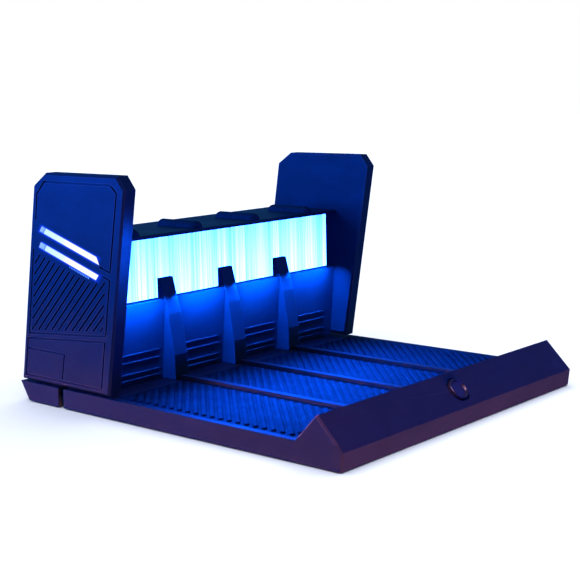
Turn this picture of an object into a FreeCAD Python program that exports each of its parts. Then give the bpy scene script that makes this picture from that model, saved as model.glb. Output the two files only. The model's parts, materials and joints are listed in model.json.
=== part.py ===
import FreeCAD, Part
import math
import os
import re
import Sketcher

# Four-lane display rack with a lit rear unit, all lengths in millimetres.
# Rack coordinates: X across the lanes from the centre line, Y from the lip's bottom edge to the rear,
# Z up from the underside of the base skirt. Placement then puts the origin at the bottom centre.

DIMENSIONS = [
    ("width", 230.0, "across the base and the side panels"),
    ("lanes", 4, "storage lanes side by side"),
    ("shell_wall", 2.4, "wall of the moulded base tray"),
    ("rim_height", 11.5, "flat top of the tray"),
    ("lip_undercut", 1.3, "forward lean of the lip's front face"),
    ("lip_face_height", 10.0, "height of the lip's front face"),
    ("lip_apex_run", 15.2, "lip apex behind the bottom edge"),
    ("lip_apex_height", 26.7, "lip apex above the underside"),
    ("lip_foot_run", 29.2, "inner foot of the lip"),
    ("base_rear_bottom", 243.6, "rear end of the base at the bottom"),
    ("base_rear_top", 250.8, "rear end of the base at the rim"),
    ("side_slot_start", 210.8, "front of the slot in the side skirt"),
    ("side_slot_width", 4.9, "width of the slot in the side skirt"),
    ("side_slot_reach", 8.6, "how far the slot runs in from the side"),
    ("rear_opening_half", 88.0, "half width of the opening in the rear skirt"),
    ("cover_bottom", 4.5, "underside of the bottom cover"),
    ("cover_thickness", 1.8, "bottom cover sheet"),
    ("panel_thickness", 8.6, "side panel, outer face to lane face"),
    ("panel_wall", 2.0, "wall of the side panel cover"),
    ("panel_bottom", 13.0, "underside of the side panel"),
    ("panel_shoulder", 132.4, "foot of the top corner cuts"),
    ("panel_top", 140.2, "top of the side panel"),
    ("panel_front", 169.8, "front edge at the panel's bottom"),
    ("panel_rear", 249.7, "rear edge at the panel's bottom"),
    ("lean_run", 20.0, "forward lean from bottom to shoulder"),
    ("front_corner_run", 6.2, "front corner cut along the top"),
    ("rear_corner_run", 11.5, "rear corner cut along the top"),
    ("panel_bevel", 1.3, "bevel round the panel's outer face"),
    ("groove_width", 1.1, "decorative groove"),
    ("groove_depth", 1.1, "decorative groove"),
    ("hatch_pitch", 5.7, "spacing of the slanted grooves along the panel"),
    ("light_bar_height", 4.1, "light bar across its length"),
    ("light_bar_drop", 0.310, "fall of the light bars per length"),
    ("mat_margin", 4.0, "border between the rack side and the mats"),
    ("mat_recess", 1.0, "depth of the mat pockets"),
    ("rib_height", 1.0, "anti-slip bars above the mat"),
    ("rib_pitch", 6.3, "bar spacing along the lane"),
    ("rib_width", 2.8, "width of an anti-slip bar"),
    ("rail_width", 4.4, "lane divider rail"),
    ("rail_height", 2.9, "rail above the rim"),
    ("wall_rib_height", 0.9, "cross rib on the recessed wall"),
    ("wall_rib_depth", 0.5, "how far a cross rib stands out"),
    ("shelf_height", 61.4, "top of the shelf in front of the light"),
    ("deck_height", 99.2, "underside of the top deck"),
    ("deck_thickness", 2.2, "top deck"),
    ("unit_clearance", 0.2, "rear unit to side panel"),
    ("fin_thickness", 11.0, "fin between two lanes"),
    ("foot_diameter", 14.0, "rubber foot"),
    ("foot_stand", 0.8, "foot below the skirt"),
    ("button_hole", 15.8, "hole for the button ring"),
    ("button_diameter", 13.2, "push button cap"),
    ("button_travel", 1.0, "how far the cap goes in"),
    ("screw_thread", 2.6, "self-tapping screw"),
    ("screw_head", 5.4, "pan head across"),
]

NAMES = {alias for alias, value, note in DIMENSIONS}
SUB_PARTS = []

doc = FreeCAD.newDocument("display_rack")


def vector(x, y, z):
    return FreeCAD.Vector(x, y, z)


def make_sheet():
    sheet = doc.addObject("Spreadsheet::Sheet", "sizes")
    for row, (alias, value, note) in enumerate(DIMENSIONS, start=1):
        sheet.set("A%d" % row, note)
        sheet.set("B%d" % row, str(value))
        sheet.setAlias("B%d" % row, alias)
    doc.recompute()
    return sheet


SHEET = make_sheet()


def linked(formula):
    """The formula with each alias written as a reference to the sheet."""
    return re.sub(r"[a-z_]+", lambda word: "sizes." + word[0] if word[0] in NAMES else word[0], formula)


def size(formula):
    """Value of a number or of a formula in the sheet's aliases."""
    if isinstance(formula, str):
        return float(SHEET.evalExpression(linked(formula)))
    return float(formula)


# Derived sizes that several sub-parts share.
HALF = size("width/2")
RIM = size("rim_height")
FLOOR_UNDERSIDE = size("rim_height - shell_wall")
COVER_TOP = size("cover_bottom + cover_thickness")
PANEL_INNER = size("width/2 - panel_thickness")
UNIT_HALF = size("width/2 - panel_thickness - unit_clearance")
LANE_PITCH = 2 * PANEL_INNER / size("lanes")
LANE_CENTRES = [LANE_PITCH * (index - 1.5) for index in range(4)]
DIVIDERS = [LANE_PITCH * (index - 1) for index in range(3)]
DECK_TOP = size("deck_height + deck_thickness")
SLOPE_ANGLE = math.atan2(size("lip_apex_height - lip_face_height"), size("lip_apex_run + lip_undercut"))
BUTTON_Y = size("(lip_apex_run - lip_undercut)/2")
BUTTON_Z = size("(lip_apex_height + lip_face_height)/2")
MAT_START = 33.0
MAT_END = 168.0
RAIL_END = 172.0
RAIL_GAP = 0.6
WALL_FRONT = 184.0
LIGHT_FRONT = 186.4
LIGHT_THICKNESS = 2.2
LIGHT_REAR = 201.0
REAR_FOOT = 246.4
REAR_HEAD = 232.0
WIRE_PASSAGE = (-70.0, 202.0)
WIRE_DIAMETER = 2.0
BOARD_BOTTOM = 17.4
BOARD_TOP = 19.0
SOCKET_X = -84.0
SOCKET_REAR = 244.6


def finish(item, label):
    """Name a sub-part and put its rack coordinates in the row frame."""
    item.Label = label
    item.setExpression("Placement.Base.y", linked("(lip_undercut - base_rear_top)/2"))
    item.setExpression("Placement.Base.z", linked("foot_stand"))
    SUB_PARTS.append(item)
    return item


def solid(label, shape):
    item = doc.addObject("Part::Feature", label)
    item.Shape = shape
    return finish(item, label)


def new_body(label):
    body = doc.addObject("PartDesign::Body", label)
    return finish(body, label)


def new_sketch(body, role, offset=0):
    sketch = body.newObject("Sketcher::SketchObject", body.Name + "_sketch")
    plane = [item for item in body.Origin.OriginFeatures if item.Role == role][0]
    sketch.AttachmentSupport = [(plane, "")]
    sketch.MapMode = "FlatFace"
    if isinstance(offset, str):
        sketch.setExpression(".AttachmentOffset.Base.z", linked(offset))
    else:
        sketch.AttachmentOffset = FreeCAD.Placement(vector(0, 0, offset), FreeCAD.Rotation())
    return sketch


def fix_point(sketch, line, axis, formula, value):
    row = sketch.addConstraint(Sketcher.Constraint("Distance" + axis, line, 1, value))
    if isinstance(formula, str):
        sketch.setExpression("Constraints[%d]" % row, linked(formula))


def draw_polygon(sketch, corners):
    """Closed polygon whose corners are numbers or formulas of the sheet."""
    spots = [(size(x), size(y)) for x, y in corners]
    first = sketch.GeometryCount
    for index, start in enumerate(spots):
        end = spots[(index + 1) % len(spots)]
        sketch.addGeometry(Part.LineSegment(vector(*start, 0), vector(*end, 0)))
    for index, corner in enumerate(corners):
        line = first + index
        follower = first + (index + 1) % len(corners)
        sketch.addConstraint(Sketcher.Constraint("Coincident", line, 2, follower, 1))
        fix_point(sketch, line, "X", corner[0], spots[index][0])
        fix_point(sketch, line, "Y", corner[1], spots[index][1])


def draw_circle(sketch, x, y, diameter):
    index = sketch.GeometryCount
    sketch.addGeometry(Part.Circle(vector(x, y, 0), vector(0, 0, 1), size(diameter) / 2))
    sketch.addConstraint(Sketcher.Constraint("DistanceX", index, 3, x))
    sketch.addConstraint(Sketcher.Constraint("DistanceY", index, 3, y))
    row = sketch.addConstraint(Sketcher.Constraint("Diameter", index, size(diameter)))
    if isinstance(diameter, str):
        sketch.setExpression("Constraints[%d]" % row, linked(diameter))


def extrude(body, kind, sketch, length, side="One side", reverse=False):
    """Pad or pocket the sketch, and check that it changed the solid the right way."""
    before = body.Shape.Volume if body.Tip else 0.0
    feature = body.newObject("PartDesign::" + kind, body.Name + "_" + kind.lower())
    feature.Profile = sketch
    feature.SideType = side
    feature.Reversed = reverse
    if isinstance(length, str):
        feature.setExpression("Length", linked(length))
    else:
        feature.Length = length
    doc.recompute()
    gain = body.Shape.Volume - before
    if (gain > 0) != (kind == "Pad"):
        raise RuntimeError("%s of %s changed nothing" % (kind, body.Label))
    return feature


def edges_where(body, test):
    """Names of the edges in one Y-Z plane whose two ends both pass the test."""
    found = []
    for index, edge in enumerate(body.Shape.Edges, start=1):
        ends = [vertex.Point - body.Placement.Base for vertex in edge.Vertexes]
        along = len(ends) == 2 and abs(ends[0].x - ends[1].x) < 0.01
        if along and all(test(point) for point in ends):
            found.append("Edge%d" % index)
    return found


def dress(body, kind, names, amount):
    base = body.Tip
    feature = body.newObject("PartDesign::" + kind, body.Name + "_" + kind.lower())
    feature.Base = (base, names)
    field = "Size" if kind == "Chamfer" else "Radius"
    if isinstance(amount, str):
        feature.setExpression(field, linked(amount))
    else:
        setattr(feature, field, amount)
    body.Tip = feature
    doc.recompute()


def inset(corners, distance):
    """Corners of a Y-Z outline moved inwards by a wall thickness."""
    spots = [vector(size(y), size(z), 0) for y, z in corners]
    shrunk = Part.makePolygon(spots + spots[:1]).makeOffset2D(-distance, 2, False, False)
    return [(vertex.Point.x, vertex.Point.y) for vertex in shrunk.OrderedVertexes]


def box(x_low, x_high, y_low, y_high, z_low, z_high):
    corner = vector(x_low, y_low, z_low)
    return Part.makeBox(x_high - x_low, y_high - y_low, z_high - z_low, corner)


def prism_x(corners, x_low, x_high):
    """Solid with a Y-Z outline between two X positions."""
    ring = [vector(x_low, y, z) for y, z in corners]
    wire = Part.makePolygon(ring + ring[:1])
    return Part.Face(wire).extrude(vector(x_high - x_low, 0, 0))


def slope_placement(depth=0.0):
    """Placement on the lip slope: local Z points out of the slope, depth is measured inwards."""
    outward = vector(0, -math.sin(SLOPE_ANGLE), math.cos(SLOPE_ANGLE))
    place = vector(0, BUTTON_Y, BUTTON_Z) - outward * depth
    return FreeCAD.Placement(place, FreeCAD.Rotation(vector(0, 0, 1), outward))


def on_slope(shape):
    """Shape drawn about the local Z axis, set on the lip slope."""
    moved = shape.copy()
    moved.Placement = slope_placement().multiply(shape.Placement)
    return Part.makeCompound([moved])


PANEL_OUTLINE = [
    ("panel_front", "panel_bottom"),
    ("panel_rear", "panel_bottom"),
    ("panel_rear - lean_run", "panel_shoulder"),
    ("panel_rear - lean_run - rear_corner_run", "panel_top"),
    ("panel_front - lean_run + front_corner_run", "panel_top"),
    ("panel_front - lean_run", "panel_shoulder"),
]


def stroke(points, width):
    """Closed outline of an open path of the given width, with mitred corners."""
    left = []
    right = []
    for index, point in enumerate(points):
        ways = []
        if index > 0:
            ways.append((point - points[index - 1]).normalize())
        if index < len(points) - 1:
            ways.append((points[index + 1] - point).normalize())
        normals = [vector(-way.y, way.x, 0) for way in ways]
        mitre = normals[0] + normals[-1]
        mitre = mitre * (width / mitre.dot(mitre))
        left.append((point.x + mitre.x, point.y + mitre.y))
        right.append((point.x - mitre.x, point.y - mitre.y))
    return left + right[::-1]


# ---------------------------------------------------------------- base tray

BASE_OUTLINE = [
    (0, 0),
    ("base_rear_bottom", 0),
    ("base_rear_top", "rim_height"),
    ("lip_foot_run", "rim_height"),
    ("lip_apex_run", "lip_apex_height"),
    ("-lip_undercut", "lip_face_height"),
]


def base_tray():
    """Moulded tray with the wedge lip, the mat pockets and the lane rails."""
    body = new_body("base_tray")
    sketch = new_sketch(body, "YZ_Plane")
    draw_polygon(sketch, BASE_OUTLINE)
    extrude(body, "Pad", sketch, "width", "Symmetric")
    lip_end = size("lip_foot_run") - 1.0
    dress(body, "Chamfer", edges_where(body, lambda p: abs(p.x) > HALF - 0.01 and p.y < lip_end), 0.9)
    cavity = new_sketch(body, "YZ_Plane")
    draw_polygon(cavity, [(y, z if z > 3 else -1) for y, z in inset(BASE_OUTLINE, size("shell_wall"))])
    extrude(body, "Pocket", cavity, "width - 2*shell_wall", "Symmetric")
    cut_skirt(body)
    cut_mat_pockets(body)
    add_rails(body)
    add_bosses(body)
    cut_button_hole(body)
    return body


def rectangle(x_low, x_high, y_low, y_high):
    return [(x_low, y_low), (x_high, y_low), (x_high, y_high), (x_low, y_high)]


def cut_skirt(body):
    """Slots through both side skirts and the wide opening in the rear skirt."""
    start = size("side_slot_start")
    end = start + size("side_slot_width")
    slots = new_sketch(body, "XY_Plane")
    inner = HALF - size("side_slot_reach")
    draw_polygon(slots, rectangle(-HALF - 1, -inner, start, end))
    draw_polygon(slots, rectangle(inner, HALF + 1, start, end))
    extrude(body, "Pocket", slots, RIM + 1, reverse=True)
    rear = new_sketch(body, "XY_Plane")
    half = size("rear_opening_half")
    draw_polygon(rear, rectangle(-half, half, size("base_rear_bottom - shell_wall - 1"), 252))
    extrude(body, "Pocket", rear, "cover_bottom", reverse=True)
    passage = new_sketch(body, "XY_Plane")
    draw_circle(passage, *WIRE_PASSAGE, 6.0)
    extrude(body, "Pocket", passage, RIM + 1, reverse=True)


def lane_rectangle(centre, gap):
    """Plan outline of one lane's mat, from rail to rail or from rail to border."""
    half_rail = size("rail_width/2") + RAIL_GAP
    low = centre - LANE_PITCH / 2 + half_rail
    high = centre + LANE_PITCH / 2 - half_rail
    border = HALF - size("mat_margin")
    if low < -PANEL_INNER + LANE_PITCH / 2:
        low = -border
    if high > PANEL_INNER - LANE_PITCH / 2:
        high = border
    return low + gap, high - gap, MAT_START + gap, MAT_END - gap


def cut_mat_pockets(body):
    pockets = new_sketch(body, "XY_Plane", "rim_height")
    for centre in LANE_CENTRES:
        draw_polygon(pockets, rectangle(*lane_rectangle(centre, 0.0)))
    extrude(body, "Pocket", pockets, "mat_recess")


def add_rails(body):
    """One divider rail, repeated between the lanes."""
    sketch = new_sketch(body, "XY_Plane", "rim_height - 0.2")
    half = size("rail_width/2")
    left = DIVIDERS[0]
    draw_polygon(sketch, rectangle(left - half, left + half, size("lip_foot_run"), RAIL_END))
    extrude(body, "Pad", sketch, "rail_height + 0.2")
    rail = body.Tip
    pattern = body.newObject("PartDesign::LinearPattern", "rail_pattern")
    pattern.Originals = [rail]
    pattern.Direction = (sketch, ["H_Axis"])
    pattern.Length = 2 * LANE_PITCH
    pattern.Occurrences = 3
    body.Tip = pattern
    doc.recompute()


BASE_SCREWS = [(x, y) for x in (-96.0, 0.0, 96.0) for y in (52.0, 204.0)]


def add_bosses(body):
    """Screw bosses under the floor for the bottom cover."""
    bosses = new_sketch(body, "XY_Plane", COVER_TOP)
    for x, y in BASE_SCREWS:
        draw_circle(bosses, x, y, 6.0)
        draw_circle(bosses, x, y, "screw_thread")
    extrude(body, "Pad", bosses, FLOOR_UNDERSIDE - COVER_TOP + 0.2)


def cut_button_hole(body):
    """Round hole through the middle of the lip slope for the button ring."""
    sketch = new_sketch(body, "XY_Plane")
    sketch.AttachmentOffset = slope_placement()
    draw_circle(sketch, 0.0, 0.0, "button_hole")
    extrude(body, "Pocket", sketch, 6.0, "Symmetric")


# ---------------------------------------------------------------- under the tray

def bottom_cover():
    """Flat plate that closes the tray from below."""
    body = new_body("bottom_cover")
    plate = new_sketch(body, "XY_Plane", "cover_bottom")
    half = HALF - size("shell_wall") - 0.3
    draw_polygon(plate, rectangle(-half, half, 3.4, 242.0))
    for x, y in BASE_SCREWS:
        draw_circle(plate, x, y, 3.0)
    extrude(body, "Pad", plate, "cover_thickness")


FOOT_SPOTS = [(-96.0, 20.0), (96.0, 20.0), (-96.0, 230.0), (96.0, 230.0)]


def rubber_foot(number, x, y):
    """Round foot with a softened lower edge, bonded under the bottom cover."""
    body = new_body("rubber_foot_%d" % number)
    disc = new_sketch(body, "XY_Plane", "-foot_stand")
    draw_circle(disc, x, y, "foot_diameter")
    extrude(body, "Pad", disc, "foot_stand + cover_bottom")
    low = 0.01 - size("foot_stand")
    rounds = [index for index, edge in enumerate(body.Shape.Edges, start=1)
              if edge.BoundBox.ZMax - body.Placement.Base.z < low]
    dress(body, "Chamfer", ["Edge%d" % index for index in rounds], 0.6)


def pan_screw(length):
    """Self-tapping screw along +Z: pan head below Z 0, shank above it."""
    head = Part.makeCylinder(size("screw_head/2"), 1.5, vector(0, 0, -1.5))
    head = head.makeFillet(0.5, [head.Edges[2]])
    shank = Part.makeCylinder(size("screw_thread/2") - 0.1, length)
    slot = box(-1.6, 1.6, -0.35, 0.35, -1.6, -0.8)
    cross = box(-0.35, 0.35, -1.6, 1.6, -1.6, -0.8)
    return head.fuse(shank).cut([slot, cross])


def base_screws():
    screws = []
    for x, y in BASE_SCREWS:
        screw = pan_screw(4.0)
        screw.translate(vector(x, y, size("cover_bottom")))
        screws.append(screw)
    solid("base_screws", Part.makeCompound(screws))


def anti_slip_bar(start, end):
    """Raised bar with rounded ends and a chamfered top between two plan points."""
    radius = size("rib_width/2")
    way = (end - start).normalize()
    side = vector(-way.y, way.x, 0) * radius
    edges = [
        Part.LineSegment(start + side, end + side).toShape(),
        Part.Arc(end + side, end + way * radius, end - side).toShape(),
        Part.LineSegment(end - side, start - side).toShape(),
        Part.Arc(start - side, start - way * radius, start + side).toShape(),
    ]
    bar = Part.Face(Part.Wire(edges)).extrude(vector(0, 0, size("rib_height") + 0.4))
    top = bar.BoundBox.ZMax - 0.01
    rim = [edge for edge in bar.Edges if edge.BoundBox.ZMin > top]
    return bar.makeChamfer(0.35, rim)


def lane_mat(number, centre):
    """Rubber mat with anti-slip bars at 45 degrees to the lane."""
    x_low, x_high, y_low, y_high = lane_rectangle(centre, 0.15)
    mat = box(x_low, x_high, y_low, y_high, RIM - size("mat_recess"), RIM)
    edge = size("rib_width/2") + 1.4
    x_first = x_low + edge
    x_last = x_high - edge
    y_first = y_low + edge
    y_last = y_high - edge
    bars = []
    reach = x_last - x_first
    start_y = y_first - reach + size("rib_pitch")
    while start_y < y_last:
        low = max(0.0, y_first - start_y)
        high = min(reach, y_last - start_y)
        if high - low > 3.0:
            start = vector(x_first + low, start_y + low, RIM - 0.4)
            end = vector(x_first + high, start_y + high, RIM - 0.4)
            bars.append(anti_slip_bar(start, end))
        start_y += size("rib_pitch")
    solid("lane_mat_%d" % number, mat.fuse(bars).removeSplitter())


# ---------------------------------------------------------------- side panels

BAR_HIGH_END = (223.2, 108.7)
BAR_LOW_END_Y = 175.6
BAR_SPACING = 9.5
PANEL_SCREWS = [(215.0, 30.0), (228.0, 62.0), (205.0, 84.0)]
LEAD_HOLE = (214.0, 84.0)
PLATE_THICKNESS = 1.8
GUIDE_THICKNESS = 1.6


def light_bar_outline(row, gap):
    """Slanted bar in Y-Z: upper row 0 or lower row 1, kept off the window by a gap."""
    drop = size("light_bar_drop")
    height = size("light_bar_height") * math.sqrt(1 + drop ** 2) - 2 * gap
    y_rear = BAR_HIGH_END[0] + 1.7 * row - gap
    y_front = BAR_LOW_END_Y - 1.4 * row + gap
    z_rear = BAR_HIGH_END[1] - BAR_SPACING * row - gap
    z_front = z_rear - (y_rear - y_front) * drop
    back_cut = 2.6 if row == 0 else 2.2
    nose_cut = -2.4 if row == 0 else 2.8
    return [(y_rear, z_rear), (y_front, z_front),
            (y_front + nose_cut, z_front - height + nose_cut * drop),
            (y_rear + back_cut, z_rear - height + back_cut * drop)]


def panel_grooves():
    """Centre lines of the decorative grooves on the outer face."""
    def path(*spots):
        return [vector(y, z, 0) for y, z in spots]
    frame_line = path((228.6, 112.0), (226.3, 127.6), (219.2, 134.9), (161.0, 134.9), (156.4, 130.6),
                      (164.4, 85.6), (173.0, 88.2))
    hatch_frame = path((174.0, 84.0), (165.0, 81.2), (170.4, 48.2), (240.2, 42.6), (231.9, 94.6))
    lower_frame = path((171.4, 44.6), (176.0, 16.2), (245.4, 16.2), (241.6, 39.2), (172.4, 44.7))
    pocket_line = path((241.6, 33.0), (208.0, 33.0), (211.0, 17.2))
    return [frame_line, hatch_frame, lower_frame, pocket_line]


HATCH_FIELD = [(237.4, 44.9), (230.6, 92.8), (178.6, 77.2), (171.0, 81.0), (169.0, 79.6), (172.4, 50.8)]
HATCH_ANGLE = math.radians(45.5)


def hatch_strokes():
    """Slanted grooves that fill the field under the lower light bar."""
    corners = [vector(y, z, 0) for y, z in HATCH_FIELD]
    field = Part.Face(Part.makePolygon(corners + corners[:1]))
    way = vector(-math.cos(HATCH_ANGLE), math.sin(HATCH_ANGLE), 0)
    strokes = []
    for index in range(-8, 12):
        middle = corners[0] - vector(index * size("hatch_pitch"), 0, 0)
        line = Part.LineSegment(middle - way * 90, middle + way * 90).toShape()
        for piece in line.common(field).Edges:
            if piece.Length > 3.0:
                strokes.append([vertex.Point for vertex in piece.Vertexes])
    return strokes


def side_panel(name, side):
    """Leaning side tower: a one-piece cover, open towards the lanes."""
    to_centre = side < 0
    body = new_body(name + "_panel_cover")
    outer = "width/2" if side > 0 else "-width/2"
    block = new_sketch(body, "YZ_Plane", outer)
    draw_polygon(block, PANEL_OUTLINE)
    extrude(body, "Pad", block, "panel_thickness", reverse=not to_centre)
    dress(body, "Chamfer", edges_where(body, lambda p: abs(p.x) > HALF - 0.01), "panel_bevel")
    cavity = new_sketch(body, "YZ_Plane", side * PANEL_INNER)
    draw_polygon(cavity, inset(PANEL_OUTLINE, size("panel_wall")))
    extrude(body, "Pocket", cavity, "panel_thickness - panel_wall", reverse=not to_centre)
    windows = new_sketch(body, "YZ_Plane", outer)
    for row in (0, 1):
        draw_polygon(windows, light_bar_outline(row, 0.0))
    extrude(body, "Pocket", windows, "panel_wall + 0.5", reverse=to_centre)
    grooves = new_sketch(body, "YZ_Plane", outer)
    for centre_line in panel_grooves():
        draw_polygon(grooves, stroke(centre_line, size("groove_width")))
    extrude(body, "Pocket", grooves, "groove_depth", reverse=to_centre)
    hatch = new_sketch(body, "YZ_Plane", outer)
    for centre_line in hatch_strokes():
        draw_polygon(hatch, stroke(centre_line, size("groove_width")))
    extrude(body, "Pocket", hatch, "groove_depth", reverse=to_centre)
    bosses = new_sketch(body, "YZ_Plane", side * (HALF - size("panel_wall")))
    for y, z in PANEL_SCREWS:
        draw_circle(bosses, y, z, 6.0)
        draw_circle(bosses, y, z, "screw_thread")
    depth = size("panel_thickness - panel_wall") - PLATE_THICKNESS
    extrude(body, "Pad", bosses, depth, reverse=not to_centre)


def panel_inner_plate(name, side):
    """Flat plate that closes the side panel on the lane side."""
    body = new_body(name + "_panel_plate")
    sketch = new_sketch(body, "YZ_Plane", side * PANEL_INNER)
    draw_polygon(sketch, inset(PANEL_OUTLINE, size("panel_wall") + 0.15))
    for y, z in PANEL_SCREWS:
        draw_circle(sketch, y, z, 3.0)
    draw_circle(sketch, *LEAD_HOLE, 4.0)
    extrude(body, "Pad", sketch, PLATE_THICKNESS, reverse=side < 0)


def panel_screws(name, side):
    screws = []
    for y, z in PANEL_SCREWS:
        screw = pan_screw(4.5)
        screw.rotate(vector(0, 0, 0), vector(0, 1, 0), side * 90)
        screw.translate(vector(side * PANEL_INNER, y, z))
        screws.append(screw)
    solid(name + "_panel_screws", Part.makeCompound(screws))


def guide_plate_outline(margin):
    """Quadrilateral behind both light bars."""
    upper = light_bar_outline(0, 0.0)
    lower = light_bar_outline(1, 0.0)
    return [(upper[0][0] + margin, upper[0][1] + margin), (upper[1][0] - margin, upper[1][1] + margin),
            (lower[2][0] - margin - 2.0, lower[2][1] - margin), (lower[3][0] + margin, lower[3][1] - margin)]


def light_guide(name, side):
    """Clear guide whose two raised bars fill the windows in the panel cover."""
    inside = HALF - size("panel_wall")
    x_plate = sorted((side * inside, side * (inside - GUIDE_THICKNESS)))
    x_bars = sorted((side * (inside - 0.4), side * (HALF - 0.15)))
    plate = prism_x(guide_plate_outline(1.5), *x_plate)
    bars = [prism_x(light_bar_outline(row, 0.1), *x_bars) for row in (0, 1)]
    solid(name + "_light_guide", plate.fuse(bars).removeSplitter())


def side_led_board(name, side):
    """Circuit board with a row of light sources behind each bar."""
    front = HALF - size("panel_wall") - GUIDE_THICKNESS - 1.0
    board = prism_x(guide_plate_outline(0.5), *sorted((side * front, side * (front - 1.0))))
    chips = []
    for row in (0, 1):
        bar = light_bar_outline(row, 0.0)
        for index in range(6):
            share = (index + 0.5) / 6
            y = bar[0][0] + (bar[1][0] - bar[0][0]) * share + 0.6
            z = bar[0][1] + (bar[1][1] - bar[0][1]) * share - size("light_bar_height/2")
            x_low, x_high = sorted((side * (front - 0.2), side * (front + 0.8)))
            chips.append(box(x_low, x_high, y - 1.6, y + 1.6, z - 1.4, z + 1.4))
    solid(name + "_led_board", board.fuse(chips))


# ---------------------------------------------------------------- rear unit

WALL_RIBS = (14.6, 18.2, 25.4, 30.2)
WALL_LEAN = 4.0
WALL_FOOT = RIM + 0.1


def wall_face(z):
    """Y of the recessed wall's front face, which leans forward a little."""
    return WALL_FRONT - WALL_LEAN * (z - WALL_FOOT) / (size("shelf_height") - WALL_FOOT)


def rear_unit_front():
    """Recessed wall with the light shelf, the fins between the lanes and cross ribs."""
    body = new_body("rear_unit_front")
    shelf = size("shelf_height")
    wall = new_sketch(body, "YZ_Plane")
    draw_polygon(wall, [
        (WALL_FRONT, WALL_FOOT), (196.0, WALL_FOOT),
        (196.0, WALL_FOOT + 2.0), (WALL_FRONT + 2.1, WALL_FOOT + 2.0),
        (wall_face(shelf) + 2.4, shelf - 2.2), (LIGHT_REAR, shelf - 2.2), (LIGHT_REAR, "shelf_height"),
        (wall_face(shelf), "shelf_height"),
    ])
    extrude(body, "Pad", wall, 2 * UNIT_HALF, "Symmetric")
    for x in DIVIDERS:
        fin = new_sketch(body, "YZ_Plane", x)
        draw_polygon(fin, [
            (172.4, WALL_FOOT), (WALL_FRONT + 1.0, WALL_FOOT), (181.6, shelf - 0.5), (186.0, shelf - 0.5),
            (186.0, 73.6), (183.4, 73.6), (180.0, shelf), (176.9, 52.0), (172.8, 27.1),
        ])
        extrude(body, "Pad", fin, "fin_thickness", "Symmetric")
    for centre in LANE_CENTRES:
        ribs = new_sketch(body, "YZ_Plane", centre)
        for low in WALL_RIBS:
            high = low + size("wall_rib_height")
            back = wall_face(low) + 0.5
            front = wall_face(low) - size("wall_rib_depth")
            draw_polygon(ribs, [(back, low), (front, low), (front, high), (back, high)])
        extrude(body, "Pad", ribs, LANE_PITCH - size("fin_thickness") - 7.0, "Symmetric")
    hole = new_sketch(body, "XY_Plane", "shelf_height")
    draw_circle(hole, -60.0, 194.5, 3.0)
    extrude(body, "Pocket", hole, 3.0)


def light_diffuser():
    """Translucent panel whose front carries fine upright prisms."""
    x_end = UNIT_HALF - 0.1
    pitch = 2.0
    count = int(2 * x_end / pitch)
    pitch = 2 * x_end / count
    rear = LIGHT_FRONT + LIGHT_THICKNESS
    ring = [vector(x_end, rear, 0), vector(-x_end, rear, 0)]
    for index in range(count):
        x = -x_end + index * pitch
        ring.append(vector(x, LIGHT_FRONT + 0.45, 0))
        ring.append(vector(x + pitch / 2, LIGHT_FRONT, 0))
    ring.append(vector(x_end, LIGHT_FRONT + 0.45, 0))
    face = Part.Face(Part.makePolygon(ring + ring[:1]))
    low = size("shelf_height") + 0.1
    face.translate(vector(0, 0, low))
    solid("light_diffuser", face.extrude(vector(0, 0, size("deck_height") - 0.1 - low)))


def main_led_strip():
    """Strip behind the shelf with three light sources per lane."""
    low = size("shelf_height") + 0.1
    strip = box(-100.0, 100.0, 190.4, 198.4, low, low + 1.0)
    chips = []
    for centre in LANE_CENTRES:
        for step in (-17.0, 0.0, 17.0):
            x = centre + step
            chips.append(box(x - 2.5, x + 2.5, 191.9, 196.9, low + 0.8, low + 2.5))
    solid("main_led_strip", strip.fuse(chips))


def reflector():
    body = new_body("light_reflector")
    sketch = new_sketch(body, "XY_Plane", "shelf_height + 0.1")
    draw_polygon(sketch, rectangle(-105.0, 105.0, LIGHT_REAR - 1.2, LIGHT_REAR - 0.2))
    extrude(body, "Pad", sketch, "deck_height - shelf_height - 0.2")


def top_deck():
    """Shelf over the light on which the front ends of the stored items lie."""
    body = new_body("top_deck")
    sketch = new_sketch(body, "YZ_Plane")
    draw_polygon(sketch, [(178.4, "deck_height"), (REAR_HEAD + 0.4, "deck_height"),
                          (REAR_HEAD + 0.1, DECK_TOP), (178.4, DECK_TOP)])
    extrude(body, "Pad", sketch, 2 * UNIT_HALF, "Symmetric")
    front = [index for index, edge in enumerate(body.Shape.Edges, start=1)
             if edge.BoundBox.YMax - body.Placement.Base.y < 178.5 and edge.Length > 100]
    dress(body, "Fillet", ["Edge%d" % index for index in front], 0.9)


def rest_bumper(number, centre):
    """Half-round rubber rest on the deck in the middle of a lane."""
    radius = 4.2
    y_low = 179.2 + radius
    y_high = 212.0
    core = Part.makeCylinder(radius, y_high - y_low, vector(centre, y_low, DECK_TOP), vector(0, 1, 0))
    nose = Part.makeSphere(radius, vector(centre, y_low, DECK_TOP))
    tail = Part.makeSphere(radius, vector(centre, y_high, DECK_TOP))
    upper = box(centre - 9, centre + 9, 170, 225, DECK_TOP, DECK_TOP + 9)
    solid("rest_bumper_%d" % number, core.fuse([nose, tail]).removeSplitter().common(upper))


VENT_COUNT = 11
VENT_PITCH = 8.0
VENT_WIDTH = 2.4
VENT_SPAN = (56.0, 80.0)


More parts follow.
